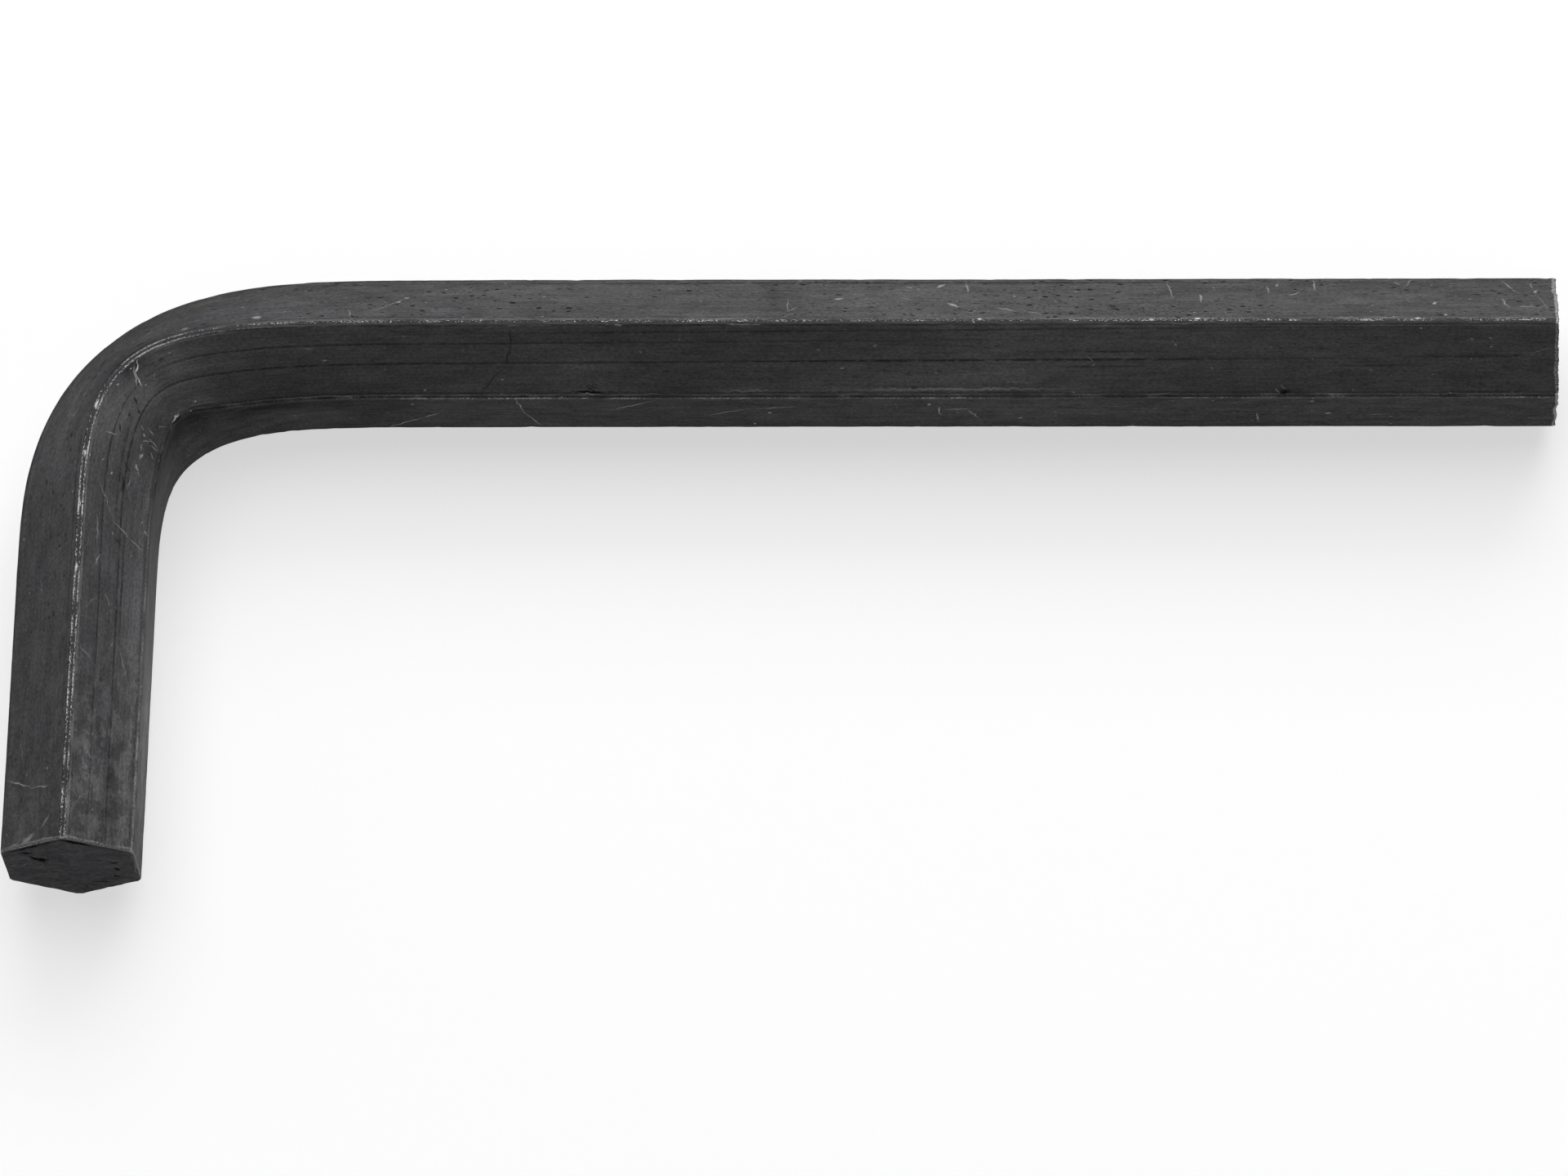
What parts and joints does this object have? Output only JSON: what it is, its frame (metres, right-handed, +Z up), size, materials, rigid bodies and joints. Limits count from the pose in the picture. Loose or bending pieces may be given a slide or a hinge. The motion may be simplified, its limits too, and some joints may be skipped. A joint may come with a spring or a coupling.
{
  "type": "hex key",
  "caption": "L-shaped hexagon bar wrench of blackened steel with plain cut ends, for turning socket head screws.",
  "frame": {"origin": "middle of the key's outline seen from above, on the surface that it lies on", "axes": "+X along the long arm to its cut end, -Y along the short arm to its cut end, +Z up"},
  "size_m": [0.1164, 0.0472, 0.0113],
  "materials": {
    "blackened_steel": "satin"
  },
  "bodies": {
    "root": {"hex_key": "blackened_steel"}
  },
  "joints": []
}
